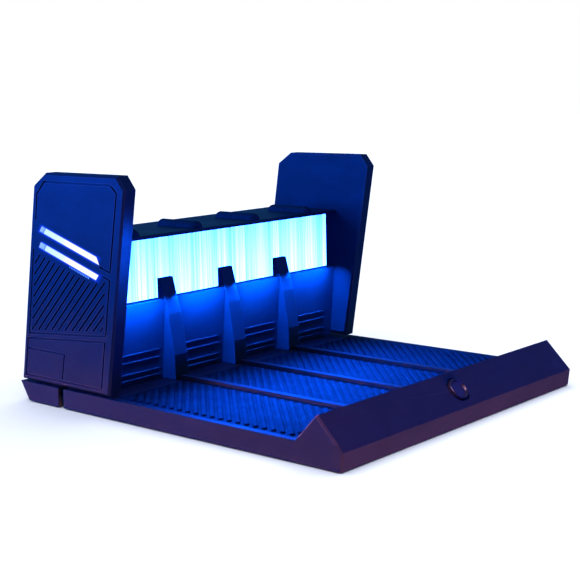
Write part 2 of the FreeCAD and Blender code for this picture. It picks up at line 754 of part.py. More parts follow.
def rear_cover():
    """Leaning back wall with the power cut-out and cooling slots."""
    body = new_body("rear_cover")
    sketch = new_sketch(body, "YZ_Plane")
    top = size("deck_height") - 0.1
    draw_polygon(sketch, [(REAR_FOOT, WALL_FOOT), (REAR_HEAD, top), (REAR_HEAD - 2.3, top),
                          (REAR_FOOT - 2.6, WALL_FOOT + 2.0), (237.0, WALL_FOOT + 2.0), (237.0, WALL_FOOT)])
    extrude(body, "Pad", sketch, 2 * UNIT_HALF, "Symmetric")
    power = new_sketch(body, "XZ_Plane", -240.0)
    middle = BOARD_TOP + 1.6
    draw_polygon(power, rectangle(SOCKET_X - 4.9, SOCKET_X + 4.9, middle - 2.0, middle + 2.0))
    extrude(body, "Pocket", power, 12.0)
    slots = new_sketch(body, "XZ_Plane", -225.0)
    for index in range(VENT_COUNT):
        x = VENT_PITCH * (index - (VENT_COUNT - 1) / 2)
        draw_polygon(slots, rectangle(x - VENT_WIDTH / 2, x + VENT_WIDTH / 2, *VENT_SPAN))
    extrude(body, "Pocket", slots, 25.0)


def controller_board():
    """Light controller with its chip, a coil and plug-in sockets."""
    board = box(-98.0, -26.0, 206.0, 238.4, BOARD_BOTTOM, BOARD_TOP)
    top = BOARD_TOP - 0.2
    parts = [
        box(-66.0, -58.0, 222.0, 230.0, top, top + 1.7),
        box(-50.0, -42.0, 224.0, 232.0, top, top + 4.2),
        box(-74.0, -66.0, 207.0, 212.0, top, top + 5.2),
        box(-64.0, -56.0, 207.0, 212.0, top, top + 5.2),
        box(-94.0, -88.0, 212.0, 220.0, top, top + 5.2),
        box(-36.0, -28.0, 207.0, 212.0, top, top + 5.2),
    ]
    solid("controller_board", board.fuse(parts))


def board_spacers():
    spacers = []
    for x in (-94.0, -30.0):
        for y in (216.0 if x < -60 else 217.0, 233.0):
            spacers.append(Part.makeCylinder(2.6, BOARD_BOTTOM - RIM, vector(x, y, RIM)))
    solid("board_spacers", Part.makeCompound(spacers))


def power_socket():
    """Power inlet: a flat metal shell with a tongue."""
    middle = BOARD_TOP + 1.6
    front = SOCKET_REAR - 7.8

    def rounded(width, height, y_low, y_high):
        block = box(SOCKET_X - width / 2, SOCKET_X + width / 2, y_low, y_high,
                    middle - height / 2, middle + height / 2)
        lengthways = [edge for edge in block.Edges if edge.BoundBox.YLength > 1.0]
        return block.makeFillet(height / 2 - 0.05, lengthways)

    shell = rounded(8.9, 3.2, front, SOCKET_REAR)
    mouth = rounded(8.3, 2.6, front + 1.0, SOCKET_REAR + 1.0)
    tongue = box(SOCKET_X - 3.3, SOCKET_X + 3.3, front + 0.8, SOCKET_REAR - 1.0,
                 middle - 0.35, middle + 0.35)
    solid("power_socket", shell.cut(mouth).fuse(tongue))


# ---------------------------------------------------------------- push button on the lip slope

def turned(profile):
    """Solid of revolution about the local Z axis from radius-depth corners."""
    ring = [vector(radius, 0, depth) for radius, depth in profile]
    face = Part.Face(Part.makePolygon(ring + ring[:1]))
    return face.revolve(vector(0, 0, 0), vector(0, 0, 1), 360)


def button_ring():
    """Recessed ring that guides the cap and carries the switch board on two legs."""
    outer = size("button_hole/2") - 0.1
    bore = size("button_diameter/2") + 0.3
    flange = outer + 1.0
    ring = turned([(bore, -5.6), (flange, -5.6), (flange, -2.7), (outer, -2.7), (outer, -1.0), (bore, -1.0)])
    legs = [box(x, x + 1.4, -2.2, 2.2, -9.0, -5.4) for x in (-8.4, 7.0)]
    solid("button_ring", on_slope(ring.fuse(legs)))


def button_cap():
    """Dished cap with a raised rim and a stem that reaches the switch."""
    radius = size("button_diameter/2")
    cap = turned([
        (0, -4.8), (1.4, -4.8), (1.4, -1.2), (radius - 1.4, -1.2), (radius - 1.4, -4.2), (radius, -4.2),
        (radius, 0.7), (radius - 0.35, 1.25), (radius - 0.9, 1.5), (radius - 1.5, 1.3), (radius - 2.0, 0.75),
        (2.4, 0.45), (0, 0.4),
    ])
    solid("button_cap", on_slope(cap))


PLUNGER_END = -6.9


def switch_plunger():
    solid("switch_plunger", on_slope(Part.makeCylinder(1.4, 2.1, vector(0, 0, PLUNGER_END))))


def tact_switch():
    """Small switch behind the cap, with a bore for its plunger."""
    case = box(-3.0, 3.0, -3.0, 3.0, -9.0, -6.1)
    bottom = PLUNGER_END - size("button_travel") - 0.4
    bore = Part.makeCylinder(1.75, -6.0 - bottom, vector(0, 0, bottom))
    solid("tact_switch", on_slope(case.cut(bore)))


def switch_board():
    solid("switch_board", on_slope(box(-8.8, 8.8, -4.2, 4.2, -10.0, -9.0)))


# ---------------------------------------------------------------- internal wiring

def tube(points, diameter):
    """Round tube along straight runs joined by tangent arcs."""
    spots = [vector(*point) for point in points]
    edges = []
    cursor = spots[0]
    for before, corner, after in zip(spots, spots[1:], spots[2:]):
        inward = (before - corner).normalize()
        onward = (after - corner).normalize()
        run = 0.45 * min(before.distanceToPoint(corner), after.distanceToPoint(corner))
        entry = corner + inward * run
        leave = corner + onward * run
        turn = math.pi - inward.getAngle(onward)
        radius = run / math.tan(turn / 2)
        bisector = (inward + onward).normalize()
        middle = corner + bisector * (radius / math.cos(turn / 2) - radius)
        edges.append(Part.LineSegment(cursor, entry).toShape())
        edges.append(Part.Arc(entry, middle, leave).toShape())
        cursor = leave
    edges.append(Part.LineSegment(cursor, spots[-1]).toShape())
    section = Part.Wire(Part.makeCircle(diameter / 2, spots[0], spots[1] - spots[0]))
    return Part.Wire(edges).makePipeShell([section], True, False)


def wiring():
    """Leads from the controller to the button, the main strip and the side boards."""
    board_back = slope_placement(10.0).Base
    below_board = slope_placement(13.4).Base
    run = COVER_TOP + 1.4
    hole_x, hole_y = WIRE_PASSAGE
    solid("button_lead", tube([
        tuple(board_back), tuple(below_board), (0.0, 26.0, run), (-6.0, 60.0, run), (-34.0, 110.0, run),
        (-58.0, 160.0, run), (hole_x, hole_y, run), (hole_x, hole_y, 21.4), (hole_x, 207.0, 21.4),
    ], WIRE_DIAMETER))
    solid("strip_lead", tube([
        (-60.0, 209.5, 24.0), (-60.0, 209.5, 34.0), (-60.0, 194.5, 46.0), (-60.0, 194.5, 61.5),
    ], WIRE_DIAMETER))
    board_face = HALF - size("panel_wall") - GUIDE_THICKNESS - 2.0
    hole_y, hole_z = LEAD_HOLE
    solid("left_panel_lead", tube([
        (-91.0, 216.0, 24.0), (-91.0, 216.0, 34.0), (-92.0, hole_y, 66.0), (-97.0, hole_y, hole_z),
        (-board_face, hole_y, hole_z),
    ], WIRE_DIAMETER))
    solid("right_panel_lead", tube([
        (-32.0, 209.5, 24.0), (-32.0, 209.5, 32.0), (-12.0, 211.0, 44.0), (40.0, 213.0, 54.0),
        (84.0, hole_y, 66.0), (96.0, hole_y, hole_z), (board_face, hole_y, hole_z),
    ], WIRE_DIAMETER))


def check_and_export():
    """Stop on any failed object, then write one STEP file per sub-part."""
    doc.recompute()
    for item in doc.Objects:
        if "Invalid" in item.State or "Error" in item.State:
            raise RuntimeError("%s failed: %s" % (item.Label, item.State))
    os.makedirs("parts", exist_ok=True)
    for item in SUB_PARTS:
        if item.Shape.isNull() or not item.Shape.isValid():
            raise RuntimeError("%s has no valid shape" % item.Label)
        item.Shape.exportStep("parts/%s.step" % item.Label)
        bounds = item.Shape.BoundBox
        print("%-18s solids %d  volume %9.1f  x %.1f..%.1f  y %.1f..%.1f  z %.1f..%.1f" % (
            item.Label, len(item.Shape.Solids), item.Shape.Volume,
            bounds.XMin, bounds.XMax, bounds.YMin, bounds.YMax, bounds.ZMin, bounds.ZMax))


base_tray()
bottom_cover()
for number, (x, y) in enumerate(FOOT_SPOTS, start=1):
    rubber_foot(number, x, y)
base_screws()
for number, centre in enumerate(LANE_CENTRES, start=1):
    lane_mat(number, centre)
for name, side in (("left", -1), ("right", 1)):
    side_panel(name, side)
    panel_inner_plate(name, side)
    panel_screws(name, side)
    light_guide(name, side)
    side_led_board(name, side)
rear_unit_front()
light_diffuser()
main_led_strip()
reflector()
top_deck()
for number, centre in enumerate(LANE_CENTRES, start=1):
    rest_bumper(number, centre)
rear_cover()
controller_board()
board_spacers()
power_socket()
button_ring()
button_cap()
switch_plunger()
tact_switch()
switch_board()
wiring()
check_and_export()
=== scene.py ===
import json
import math

import bpy
from mathutils import Matrix, Vector


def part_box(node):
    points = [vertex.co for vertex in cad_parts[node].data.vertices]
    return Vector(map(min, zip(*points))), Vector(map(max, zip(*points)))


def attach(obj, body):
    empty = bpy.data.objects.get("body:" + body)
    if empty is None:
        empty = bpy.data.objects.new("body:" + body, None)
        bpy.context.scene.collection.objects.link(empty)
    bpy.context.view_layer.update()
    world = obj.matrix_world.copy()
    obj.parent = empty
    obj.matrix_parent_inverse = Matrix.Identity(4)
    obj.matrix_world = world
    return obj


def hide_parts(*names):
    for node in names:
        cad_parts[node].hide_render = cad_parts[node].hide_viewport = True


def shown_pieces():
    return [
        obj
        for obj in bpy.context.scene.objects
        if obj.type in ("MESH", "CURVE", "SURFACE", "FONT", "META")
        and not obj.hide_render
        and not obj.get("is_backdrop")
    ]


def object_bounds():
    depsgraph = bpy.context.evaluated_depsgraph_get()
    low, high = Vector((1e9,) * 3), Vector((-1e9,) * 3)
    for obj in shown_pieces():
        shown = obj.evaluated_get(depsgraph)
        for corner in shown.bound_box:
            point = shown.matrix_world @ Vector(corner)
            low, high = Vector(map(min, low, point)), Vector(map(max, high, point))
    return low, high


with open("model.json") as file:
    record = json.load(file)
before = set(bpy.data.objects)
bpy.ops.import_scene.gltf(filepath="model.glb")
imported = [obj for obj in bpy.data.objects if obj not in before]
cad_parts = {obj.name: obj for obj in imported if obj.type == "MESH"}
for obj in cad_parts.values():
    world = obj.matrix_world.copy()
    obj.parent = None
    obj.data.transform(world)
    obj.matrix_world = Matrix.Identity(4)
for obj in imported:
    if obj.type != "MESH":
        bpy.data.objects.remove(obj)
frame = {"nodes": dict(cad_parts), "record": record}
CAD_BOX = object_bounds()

# Lengths are metres in the row frame: X across the lanes, Y from the lip to the rear, Z up.
MM = 0.001
LANES = 4
FEET = 4
RACK = "rack"
BUTTON = "button"
LEFT = CAD_BOX[0][0]
FRONT = CAD_BOX[0][1]
RIGHT = CAD_BOX[1][0]

# Colours are linear RGB. A plastic or rubber has two, for the dark and the light side of its mottling.
UNLIT = (0.0, 0.0, 0.0)
WHITE = (1.0, 1.0, 1.0)
BLACK = ((0.016, 0.016, 0.018), (0.023, 0.023, 0.026))
# Pale rose that is painted along edges as a highlight.
EDGE_HIGHLIGHT_ROSE = (0.30, 0.17, 0.14)
OCCLUSION_SAMPLES = 8


# ---------------------------------------------------------------- node helpers

class Shader:
    """A new material's node tree, with short calls for the nodes that this scene uses most."""

    def __init__(self, name):
        self.material = bpy.data.materials.new(name)
        self.material.use_nodes = True
        self.tree = self.material.node_tree
        self.surface = self.tree.nodes["Principled BSDF"]

    def add(self, kind, **settings):
        node = self.tree.nodes.new(kind)
        for field, value in settings.items():
            setattr(node, field, value)
        return node

    def link(self, output, target):
        self.tree.links.new(output, target)

    def set(self, field, value):
        """Give an input of the surface a node's output, a colour or a number."""
        socket = self.surface.inputs[field]
        if isinstance(value, bpy.types.NodeSocket):
            self.link(value, socket)
        elif isinstance(value, tuple):
            socket.default_value = (*value, 1.0)
        else:
            socket.default_value = value

    def place(self):
        """Object coordinates, which are metres in the row frame."""
        return self.add("ShaderNodeTexCoord").outputs["Object"]

    def axis(self, name):
        node = self.add("ShaderNodeSeparateXYZ")
        self.link(self.place(), node.inputs[0])
        return node.outputs[name]

    def stretched(self, scale):
        """Coordinates with their own scale along each axis, for streaks."""
        mapping = self.add("ShaderNodeMapping")
        mapping.inputs["Scale"].default_value = scale
        self.link(self.place(), mapping.inputs["Vector"])
        return mapping.outputs["Vector"]

    def noise(self, scale, detail=3.0, rough=0.5, vector=None):
        node = self.add("ShaderNodeTexNoise")
        node.inputs["Scale"].default_value = scale
        node.inputs["Detail"].default_value = detail
        node.inputs["Roughness"].default_value = rough
        self.link(vector or self.place(), node.inputs["Vector"])
        return node.outputs["Fac"]

    def spread(self, value, low, high, start=0.3, end=0.7):
        """Map values from start to end to numbers from low to high. Most noise lies within 0.3 to 0.7."""
        node = self.add("ShaderNodeMapRange")
        node.inputs["From Min"].default_value = start
        node.inputs["From Max"].default_value = end
        node.inputs["To Min"].default_value = low
        node.inputs["To Max"].default_value = high
        self.link(value, node.inputs["Value"])
        return node.outputs["Result"]

    def colours(self, value, *stops):
        """Colour ramp with (position, colour) stops."""
        node = self.add("ShaderNodeValToRGB")
        ramp = node.color_ramp
        while len(ramp.elements) < len(stops):
            ramp.elements.new(0.5)
        for element, (position, colour) in zip(ramp.elements, stops):
            element.position = position
            element.color = (*colour, 1.0)
        self.link(value, node.inputs["Fac"])
        return node.outputs["Color"]

    def maths(self, operation, first, second=0.0):
        node = self.add("ShaderNodeMath", operation=operation)
        for socket, value in zip(node.inputs, (first, second)):
            if isinstance(value, (int, float)):
                socket.default_value = value
            else:
                self.link(value, socket)
        return node.outputs[0]

    def mixed(self, factor, first, second):
        """Blend a node's colour towards a fixed one."""
        node = self.add("ShaderNodeMix", data_type="RGBA")
        self.link(factor, node.inputs["Factor"])
        self.link(first, node.inputs["A"])
        node.inputs["B"].default_value = (*second, 1.0)
        return node.outputs["Result"]

    def scaled(self, colour, factor):
        node = self.add("ShaderNodeVectorMath", operation="SCALE")
        self.link(colour, node.inputs[0])
        self.link(factor, node.inputs["Scale"])
        return node.outputs[0]

    def tinted(self, colour, tint):
        node = self.add("ShaderNodeVectorMath", operation="MULTIPLY")
        self.link(colour, node.inputs[0])
        self.link(tint, node.inputs[1])
        return node.outputs[0]

    def crevice_shade(self, distance, keep):
        """Mask of painted shade: 1 on open faces, falling to keep inside grooves and seams."""
        node = self.add("ShaderNodeAmbientOcclusion", samples=OCCLUSION_SAMPLES, only_local=True)
        node.inputs["Distance"].default_value = distance
        return self.spread(node.outputs["AO"], keep, 1.0, start=0.45, end=0.85)

    def edges(self, distance, amount):
        """Mask of a painted highlight: amount along outer edges and 0 elsewhere."""
        node = self.add("ShaderNodeAmbientOcclusion", samples=OCCLUSION_SAMPLES, only_local=True, inside=True)
        node.inputs["Distance"].default_value = distance
        return self.spread(node.outputs["AO"], amount, 0.0, start=0.74, end=0.92)

    def bump(self, *layers):
        """Stack of (height pattern, distance in metres, strength)."""
        normal = None
        for height, distance, strength in layers:
            node = self.add("ShaderNodeBump")
            node.inputs["Distance"].default_value = distance
            node.inputs["Strength"].default_value = strength
            self.link(height, node.inputs["Height"])
            if normal:
                self.link(normal, node.inputs["Normal"])
            normal = node.outputs["Normal"]
        self.link(normal, self.surface.inputs["Normal"])


# ---------------------------------------------------------------- plastics, rubber and metal

def lip_ends(shader):
    """1 at the lip's two ends, which stand above the mats at the base's sides, and 0 elsewhere."""
    above_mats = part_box("lane_mat_1")[1].z + 1.0 * MM
    near_side = RIGHT - 2.0 * MM
    raised = shader.maths("GREATER_THAN", shader.axis("Z"), above_mats)
    outer = shader.maths("GREATER_THAN", shader.maths("ABSOLUTE", shader.axis("X")), near_side)
    return shader.maths("MULTIPLY", raised, outer)


def moulded_shader(name, dark, light, rough=0.5, specular=0.3, grain=2600.0, wear=0.0, lip_only=False):
    """Moulded plastic: fine spark-eroded grain, faint flow mottling and handling marks.

    The edge amount is how strongly a pale rose highlight is painted along the edges: all of them, or only the
    ends of the lip. Grooves and seams get painted shade.
    """
    shader = Shader(name)
    mottle = shader.noise(38.0, 5.0, 0.6)
    colour = shader.colours(mottle, (0.3, dark), (0.7, light))
    # Painted highlight: pale rose mixed into the colour along the edges.
    if wear:
        highlight_mask = shader.edges(distance=0.7 * MM, amount=wear)
        if lip_only:
            highlight_mask = shader.maths("MULTIPLY", highlight_mask, lip_ends(shader))
        colour = shader.mixed(highlight_mask, colour, EDGE_HIGHLIGHT_ROSE)
    # Painted shade: the colour darkens in grooves and seams.
    shader.set("Base Color", shader.scaled(colour, shader.crevice_shade(distance=1.4 * MM, keep=0.15)))
    fine = shader.noise(grain, 2.0, 0.6)
    coarse = shader.noise(grain / 3.1, 1.0, 0.4)
    smears = shader.noise(1.0, 6.0, 0.65, shader.stretched((22.0, 30.0, 90.0)))
    shader.set("Roughness", shader.spread(smears, rough - 0.07, rough + 0.08))
    shader.set("Specular IOR Level", specular)
    shader.bump((fine, 0.06 * MM, 0.55), (coarse, 0.10 * MM, 0.30))
    return shader


def moulded_plastic(*look, **finish):
    """Moulded plastic as it comes, with nothing added to its nodes."""
    return moulded_shader(*look, **finish).material


def silicone(name, dark, light):
    """Matt silicone rubber with a velvety grain, a little dust and painted shade in its hollows."""
    shader = Shader(name)
    dust = shader.noise(420.0, 6.0, 0.75)
    colour = shader.colours(dust, (0.35, dark), (0.75, light))
    # Painted shade: the colour darkens in hollows, such as between a mat's ribs.
    shader.set("Base Color", shader.scaled(colour, shader.crevice_shade(distance=2.4 * MM, keep=0.12)))
    shader.set("Roughness", shader.spread(shader.noise(90.0, 4.0), 0.66, 0.82))
    shader.set("Specular IOR Level", 0.22)
    shader.bump((shader.noise(3400.0, 2.0), 0.05 * MM, 0.6))
    return shader.material


def brushed_metal(name, colour):
    """Metal with fine streaks along Y."""
    shader = Shader(name)
    streaks = shader.noise(1.0, 4.0, 0.6, shader.stretched((9000.0, 600.0, 9000.0)))
    shadow = tuple(0.7 * channel for channel in colour)
    shader.set("Base Color", shader.colours(streaks, (0.2, shadow), (0.8, colour)))
    shader.set("Roughness", shader.spread(streaks, 0.24, 0.46))
    shader.set("Metallic", 1.0)
    shader.bump((streaks, 0.01 * MM, 0.3))
    return shader.material


def circuit_board(name):
    """Green solder mask with paler traces."""
    shader = Shader(name)
    cells = shader.add("ShaderNodeTexVoronoi", feature="DISTANCE_TO_EDGE")
    cells.inputs["Scale"].default_value = 260.0
    shader.link(shader.place(), cells.inputs["Vector"])
    from_trace = cells.outputs["Distance"]
    trace = (0.05, 0.22, 0.10)
    mask = (0.01, 0.075, 0.035)
    shader.set("Base Color", shader.colours(from_trace, (0.03, trace), (0.07, mask)))
    shader.set("Roughness", shader.spread(shader.noise(500.0), 0.25, 0.45))
    shader.bump((from_trace, 0.04 * MM, 0.4))
    return shader.material


def cap_gloss(name):
    """Polished black plastic with faint wiping marks."""
    shader = Shader(name)
    marks = shader.noise(1.0, 5.0, 0.7, shader.stretched((2600.0, 420.0, 700.0)))
    colour = shader.colours(marks, (0.3, (0.004, 0.004, 0.008)), (0.75, (0.010, 0.010, 0.018)))
    # Painted shade: the colour darkens in the cap's hollows.
    shader.set("Base Color", shader.scaled(colour, shader.crevice_shade(distance=1.0 * MM, keep=0.2)))
    shader.set("Roughness", shader.spread(marks, 0.12, 0.30))
    shader.set("Specular IOR Level", 0.25)
    shader.bump((shader.noise(1500.0, 3.0), 0.01 * MM, 0.2))
    return shader.material


# ---------------------------------------------------------------- glowing parts

# The two light bars in a side panel slope down towards the front, one above the other. Their thickness and
# spacing are upright, and lengths are along Y. The ends lean back towards the bottom.
BAR_DROP = 0.310
BAR_THICKNESS = 4.29 * MM
BAR_SPACING = 10.03 * MM
BAR_LENGTH = 48.0 * MM
BAR_MARK = 3.2 * MM
BAR_END_SLANT = 0.6
BLEED = 2.2 * MM

# From the light guide's box to the rear top corner of the upper bar.
BAR_REAR_GAP = 5.4 * MM
BAR_TOP_GAP = 1.5 * MM

# A row of small marks under the front half of the lower bar.
TICKS = 13
TICK_PITCH = 1.35 * MM
TICK_START = 24.0 * MM
TICK_GAP = 0.9 * MM
TICK_HALF_WIDTH = 0.34 * MM
TICK_HALF_HEIGHT = 0.55 * MM


def bar_corner():
    """Rear top corner of the upper light bar, as Y and Z."""
    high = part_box("left_light_guide")[1]
    return high.y - BAR_REAR_GAP, high.z - BAR_TOP_GAP


def across_bars(shader):
    """How far a point lies below the top edge of the bar that it belongs to, in metres."""
    y, z = bar_corner()
    slanted = shader.maths("SUBTRACT", shader.axis("Z"), shader.maths("MULTIPLY", shader.axis("Y"), BAR_DROP))
    below = shader.maths("SUBTRACT", z - BAR_DROP * y, slanted)
    halfway = 0.5 * (BAR_THICKNESS + BAR_SPACING)
    lower_bar = shader.maths("GREATER_THAN", below, halfway)
    return shader.maths("SUBTRACT", below, shader.maths("MULTIPLY", lower_bar, BAR_SPACING))


def along_bars(shader):
    """How far a point lies in front of the bars' slanted rear ends, in metres."""
    y = bar_corner()[0]
    end_slant = shader.maths("MULTIPLY", across_bars(shader), BAR_END_SLANT)
    return shader.maths("ADD", shader.maths("SUBTRACT", y, shader.axis("Y")), end_slant)


def panel_plastic(name):
    """Moulded plastic with a painted glow round the light bars and a painted highlight on its edges."""
    shader = moulded_shader(name, *BLACK, rough=0.46, specular=0.25, wear=0.22)
    faint = (0.0, 0.004, 0.10)
    bright = (0.002, 0.03, 0.85)
    edge = BLEED / (BAR_THICKNESS + 2 * BLEED)
    across = shader.spread(across_bars(shader), 0.0, 1.0, -BLEED, BAR_THICKNESS + BLEED)
    near = shader.colours(across, (0.0, UNLIT), (edge * 0.55, faint), (edge * 0.97, bright),
                          (1.0 - edge * 0.97, bright), (1.0 - edge * 0.55, faint), (1.0, UNLIT))
    along = shader.spread(along_bars(shader), 0.0, 1.0, -BLEED, BAR_LENGTH + 2 * BLEED)
    ends = shader.colours(along, (0.0, UNLIT), (0.05, WHITE), (0.93, WHITE), (1.0, UNLIT))
    # Painted glow: emission round the light bars that stands in for their light spilling onto the panel.
    shader.set("Emission Color", shader.tinted(near, ends))
    shader.set("Emission Strength", 0.8)
    return shader.material


def lit_bar(name):
    """Light bar: warm white along its middle, blue along its edges, with a plain block at the rear end."""
    shader = Shader(name)
    warm = (1.12, 1.09, 0.93)
    rim = (0.03, 0.07, 0.95)
    haze = (0.45, 0.60, 1.0)
    mark_end = BAR_MARK / BAR_LENGTH
    across = shader.spread(across_bars(shader), 0.0, 1.0, 0.0, BAR_THICKNESS)
    along = shader.spread(along_bars(shader), 0.0, 1.0, 0.0, BAR_LENGTH)
    body = shader.colours(along, (0.0, (0.30, 0.52, 1.0)), (mark_end * 0.9, (0.22, 0.42, 1.0)),
                          (mark_end, (0.01, 0.05, 0.8)), (mark_end * 1.25, (0.62, 0.90, 0.90)),
                          (0.40, (0.80, 0.98, 0.90)), (0.48, warm), (0.95, warm))
    fringe = shader.colours(across, (0.0, rim), (0.07, haze), (0.13, WHITE), (0.87, WHITE), (0.93, haze),
                            (1.0, rim))
    ripple = shader.spread(shader.noise(700.0, 3.0), 0.93, 1.05)
    dust = shader.noise(300.0)
    shader.set("Base Color", shader.colours(dust, (0.3, (0.02, 0.03, 0.05)), (0.7, (0.05, 0.06, 0.08))))
    shader.set("Roughness", shader.spread(shader.noise(900.0), 0.2, 0.4))
    shader.set("Emission Color", shader.scaled(shader.tinted(body, fringe), ripple))
    shader.set("Emission Strength", 1.0)
    return shader.material


def tick_glow(name):
    """Small marks lit from behind, dimmer towards the rear."""
    shader = Shader(name)
    grain = shader.noise(1400.0, 2.0)
    shader.set("Base Color", shader.colours(grain, (0.3, (0.10, 0.14, 0.22)), (0.7, (0.18, 0.24, 0.34))))
    shader.set("Roughness", shader.spread(grain, 0.35, 0.55))
    glow = shader.colours(grain, (0.3, (0.10, 0.35, 1.0)), (0.7, (0.20, 0.50, 1.0)))
    fade = shader.spread(along_bars(shader), 0.25, 1.0, TICK_START, TICK_START + TICKS * TICK_PITCH)
    shader.set("Emission Color", shader.scaled(glow, fade))
    shader.set("Emission Strength", 0.8)
    return shader.material


SOURCES_PER_LANE = 3


def lit_panel(name):
    """Edge-lit prismatic sheet: brightest low down and over its sources, with fine upright streaks."""
    low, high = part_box("light_diffuser")
    shader = Shader(name)
    grey = [(level, level, level) for level in (1.0, 0.85, 0.42)]
    height = shader.spread(shader.axis("Z"), 0.0, 1.0, low.z, high.z)
    fade = shader.colours(height, (0.0, grey[0]), (0.35, grey[1]), (1.0, grey[2]))
    streak = shader.noise(1.0, 3.0, 0.7, shader.stretched((900.0, 1.0, 6.0)))
    prism = shader.spread(streak, 0.30, 1.30)
    pitch = (high.x - low.x) / (LANES * SOURCES_PER_LANE)
    wave = shader.maths("COSINE", shader.maths("MULTIPLY", shader.axis("X"), 2 * math.pi / pitch))
    spot = shader.spread(wave, 0.75, 1.15, -1.0, 1.0)
    glow = shader.maths("MULTIPLY", shader.maths("MULTIPLY", fade, prism), spot)
    shader.set("Base Color", (0.6, 0.75, 0.95))
    shader.set("Roughness", shader.spread(streak, 0.25, 0.45))
    shader.set("Emission Color", (0.040, 0.16, 1.0))
    shader.set("Emission Strength", shader.maths("MULTIPLY", glow, 26.0))
    shader.bump((streak, 0.08 * MM, 0.5))
    return shader.material


# ---------------------------------------------------------------- finishes of the CAD nodes

def paint(material, *names):
    """Give CAD nodes a material."""
    for name in names:
        mesh = frame["nodes"][name].data
        mesh.materials.clear()
        mesh.materials.append(material)


def soften_edges(width, *names):
    """Round the moulded edges a little, as a mould does, so that they catch the light."""
    for name in names:
        node = frame["nodes"][name]
        weld = node.modifiers.new("weld", "WELD")
        weld.merge_threshold = 0.01 * MM
        bevel = node.modifiers.new("edges", "BEVEL")
        bevel.width = width
        bevel.segments = 2
        bevel.limit_method = "ANGLE"
        bevel.angle_limit = math.radians(32)
        bevel.harden_normals = True
        bevel.use_clamp_overlap = True


def both(suffix):
    """Names of a node on the left and of its twin on the right."""
    return ["left_" + suffix, "right_" + suffix]


def numbered(stem, count):
    return ["%s_%d" % (stem, index) for index in range(1, count + 1)]


def dress_shell():
    """Plastics and rubber that show from outside."""
    # The base gets its painted edge highlight only at the ends of the lip.
    base = moulded_plastic("base plastic", *BLACK, rough=0.5, specular=0.25, wear=0.9, lip_only=True)
    plate = moulded_plastic("plate plastic", *BLACK, rough=0.46, specular=0.25)
    unit = moulded_plastic("unit plastic", *BLACK, rough=0.42, specular=0.3, grain=2200.0)
    cover = moulded_plastic("cover plastic", *BLACK, rough=0.62, specular=0.2, grain=1500.0)
    ring = moulded_plastic("ring plastic", (0.002, 0.002, 0.003), (0.005, 0.005, 0.007), rough=0.4)
    mat = silicone("mat silicone", (0.010, 0.011, 0.018), (0.022, 0.023, 0.030))
    rubber = silicone("foot rubber", (0.016, 0.016, 0.017), (0.035, 0.034, 0.033))
    paint(base, "base_tray")
    paint(panel_plastic("panel plastic"), *both("panel_cover"))
    paint(plate, *both("panel_plate"))
    paint(unit, "rear_unit_front", "top_deck", "rear_cover")
    paint(cover, "bottom_cover")
    paint(ring, "button_ring")
    paint(mat, *numbered("lane_mat", LANES))
    paint(rubber, *numbered("rubber_foot", FEET), *numbered("rest_bumper", LANES))


def dress_works():
    """Lights, boards, leads and metal, which are mostly inside."""
    inner = moulded_plastic("inner plastic", (0.05, 0.05, 0.055), (0.08, 0.08, 0.085), rough=0.55)
    reflector = moulded_plastic("reflector white", (0.75, 0.78, 0.8), (0.85, 0.87, 0.9), rough=0.6)
    jacket = silicone("lead jacket", (0.015, 0.015, 0.015), (0.03, 0.03, 0.03))
    board = circuit_board("circuit board")
    paint(inner, "tact_switch", "switch_plunger", "board_spacers")
    paint(reflector, "light_reflector")
    paint(jacket, "button_lead", "strip_lead", *both("panel_lead"))
    paint(board, "main_led_strip", "controller_board", "switch_board", *both("led_board"))
    paint(brushed_metal("screw steel", (0.32, 0.32, 0.34)), "base_screws", *both("panel_screws"))
    paint(brushed_metal("socket metal", (0.62, 0.62, 0.66)), "power_socket")
    paint(lit_panel("lit panel"), "light_diffuser")
    paint(lit_bar("lit bar"), *both("light_guide"))


# ---------------------------------------------------------------- detail pieces

def new_piece(name, vertices, faces, material, body):
    """A mesh piece that rides on a body and takes its finish from a material slot."""
    mesh = bpy.data.meshes.new(name)
    mesh.from_pydata(vertices, [], faces)
    mesh.materials.append(material)
    piece = bpy.data.objects.new(name, mesh)
    bpy.context.scene.collection.objects.link(piece)
    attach(piece, body)
    return piece


SLOPE_ABOVE_BOARD = 9.5 * MM


def button_frame():
    """Frame on the lip slope at the button's middle, with Z pointing out of the slope."""
    press = Vector(frame["record"]["behaviour"]["joints"][0]["axis"])
    outward = -press.normalized()
    low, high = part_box("switch_board")
    centre = 0.5 * (low + high) + outward * SLOPE_ABOVE_BOARD
    return Matrix.Translation(centre) @ outward.to_track_quat("Z", "Y").to_matrix().to_4x4()


# The cap's outline in mm: radius, and height above the lip slope.
CAP_UNDERSIDE = [(1.4, -4.8), (1.4, -1.3), (5.2, -1.3), (5.2, -4.2), (6.5, -4.2), (6.6, -4.1)]
CAP_RIM = [
    (6.6, 0.72), (6.55, 0.98), (6.42, 1.22), (6.22, 1.39), (5.98, 1.47), (5.74, 1.46), (5.52, 1.36),
    (5.34, 1.17), (5.20, 0.92),
]
CAP_DISH = [(5.06, 0.62), (4.86, 0.40), (4.56, 0.27), (4.0, 0.20), (3.0, 0.14), (1.6, 0.10), (0.4, 0.08)]
CAP_PROFILE = CAP_UNDERSIDE + CAP_RIM + CAP_DISH
CAP_STEPS = 96


